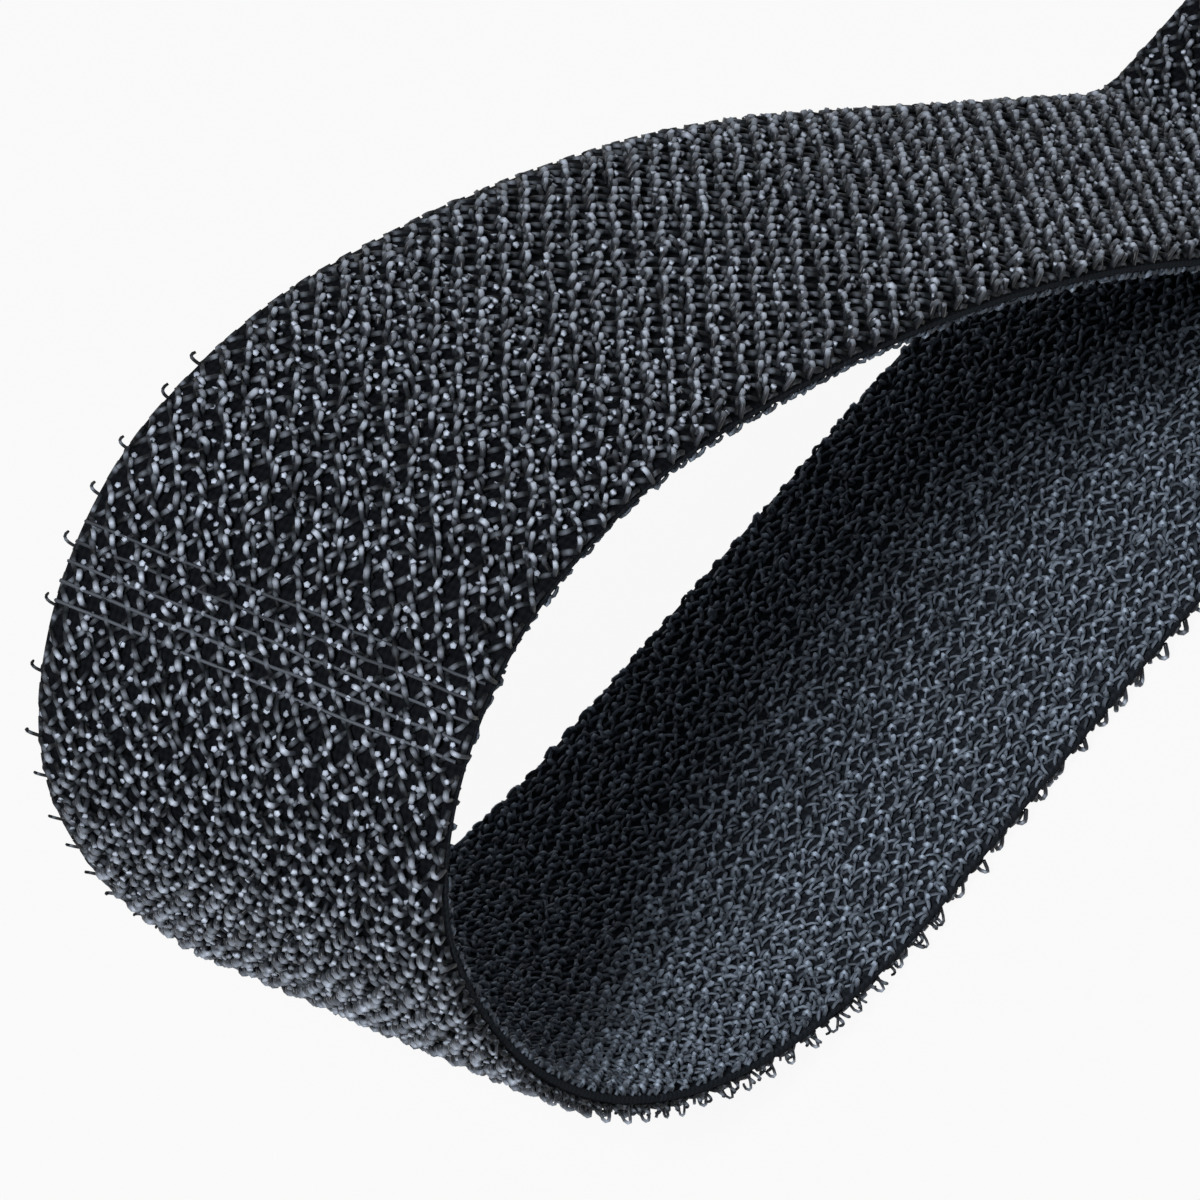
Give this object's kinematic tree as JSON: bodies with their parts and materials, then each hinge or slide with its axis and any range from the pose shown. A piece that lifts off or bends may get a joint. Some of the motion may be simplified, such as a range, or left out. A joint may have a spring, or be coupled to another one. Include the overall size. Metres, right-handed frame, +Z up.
{
  "type": "hook and loop tape roll",
  "caption": "Roll of double-sided hook and loop tape on a core, its loose end peeled out along the table and curled back on itself in a teardrop loop.",
  "frame": {"origin": "on the table, at the middle of the underside of the lead-out under the roll, midway across the tape", "axes": "+X along the flat run from the loop towards the roll, +Y across the tape, +Z up from the table"},
  "size_m": [0.2196, 0.025, 0.0807],
  "materials": {
    "hook_tape": "woven nylon tape with upright glossy monofilament hooks",
    "loop_tape": "brushed dull loop pile",
    "wound_tape": "woven tape edges, wound turn on turn",
    "core": "matt spiral-wound paperboard"
  },
  "bodies": {
    "roll": {"core_tube": "core", "inner_turns": "wound_tape", "last_turn_hooks": "hook_tape", "last_turn_loops": "loop_tape"},
    "flat_run": {"flat_run_hooks": "hook_tape", "flat_run_loops": "loop_tape", "rise_1_hooks": "hook_tape", "rise_1_loops": "loop_tape"},
    "rise_2": {"rise_2_hooks": "hook_tape", "rise_2_loops": "loop_tape"},
    "rise_3": {"rise_3_hooks": "hook_tape", "rise_3_loops": "loop_tape"},
    "crown_1": {"crown_1_hooks": "hook_tape", "crown_1_loops": "loop_tape"},
    "crown_2": {"crown_2_hooks": "hook_tape", "crown_2_loops": "loop_tape"},
    "shoulder": {"shoulder_hooks": "hook_tape", "shoulder_loops": "loop_tape"},
    "slope_1": {"slope_1_hooks": "hook_tape", "slope_1_loops": "loop_tape"},
    "slope_2": {"slope_2_hooks": "hook_tape", "slope_2_loops": "loop_tape"},
    "descent": {"descent_hooks": "hook_tape", "descent_loops": "loop_tape"},
    "return": {"return_hooks": "hook_tape", "return_loops": "loop_tape"},
    "tail": {"tail_hooks": "hook_tape", "tail_loops": "loop_tape"}
  },
  "joints": [
    {"name": "peel", "type": "hinge", "parent": "roll", "child": "flat_run", "pos_m": [-0.012, 0, 0.0013], "axis": [0, 1, 0], "range_deg": [0, 15]},
    {"name": "rise_open", "type": "hinge", "parent": "flat_run", "child": "rise_2", "pos_m": [-0.14528, 0, 0.00534], "axis": [0, -1, 0], "range_deg": [0, 15], "stiffness_Nm_per_rad": 0.004},
    {"name": "rise_open_2", "type": "hinge", "parent": "rise_2", "child": "rise_3", "pos_m": [-0.15871, 0, 0.01661], "axis": [0, -1, 0], "range_deg": [0, 15], "stiffness_Nm_per_rad": 0.004},
    {"name": "crown_open", "type": "hinge", "parent": "rise_3", "child": "crown_1", "pos_m": [-0.16565, 0, 0.0327], "axis": [0, -1, 0], "range_deg": [0, 20], "stiffness_Nm_per_rad": 0.004},
    {"name": "crown_open_2", "type": "hinge", "parent": "crown_1", "child": "crown_2", "pos_m": [-0.16292, 0, 0.04345], "axis": [0, -1, 0], "range_deg": [0, 20], "stiffness_Nm_per_rad": 0.004},
    {"name": "slope_open", "type": "hinge", "parent": "crown_2", "child": "shoulder", "pos_m": [-0.15306, 0, 0.04853], "axis": [0, -1, 0], "range_deg": [0, 15], "stiffness_Nm_per_rad": 0.004},
    {"name": "slope_open_2", "type": "hinge", "parent": "shoulder", "child": "slope_1", "pos_m": [-0.13926, 0, 0.04646], "axis": [0, -1, 0], "range_deg": [0, 9], "stiffness_Nm_per_rad": 0.004},
    {"name": "slope_open_3", "type": "hinge", "parent": "slope_1", "child": "slope_2", "pos_m": [-0.11927, 0, 0.03735], "axis": [0, -1, 0], "range_deg": [0, 6], "stiffness_Nm_per_rad": 0.004},
    {"name": "slope_open_4", "type": "hinge", "parent": "slope_2", "child": "descent", "pos_m": [-0.10095, 0, 0.02523], "axis": [0, -1, 0], "range_deg": [0, 3], "stiffness_Nm_per_rad": 0.004},
    {"name": "tail_lift", "type": "hinge", "parent": "descent", "child": "return", "pos_m": [-0.07493, 0, 0.0049], "axis": [0, -1, 0], "range_deg": [0, 15], "stiffness_Nm_per_rad": 0.004},
    {"name": "tail_lift_2", "type": "hinge", "parent": "return", "child": "tail", "pos_m": [-0.07, 0, 0.0032], "axis": [0, -1, 0], "range_deg": [0, 15], "stiffness_Nm_per_rad": 0.004}
  ],
  "couplings": [
    {"joint": "rise_open_2", "follows": "rise_open", "ratio": 1},
    {"joint": "crown_open_2", "follows": "crown_open", "ratio": 1},
    {"joint": "slope_open_2", "follows": "slope_open", "ratio": 0.6},
    {"joint": "slope_open_3", "follows": "slope_open", "ratio": 0.4},
    {"joint": "slope_open_4", "follows": "slope_open", "ratio": 0.2},
    {"joint": "tail_lift_2", "follows": "tail_lift", "ratio": 1}
  ]
}
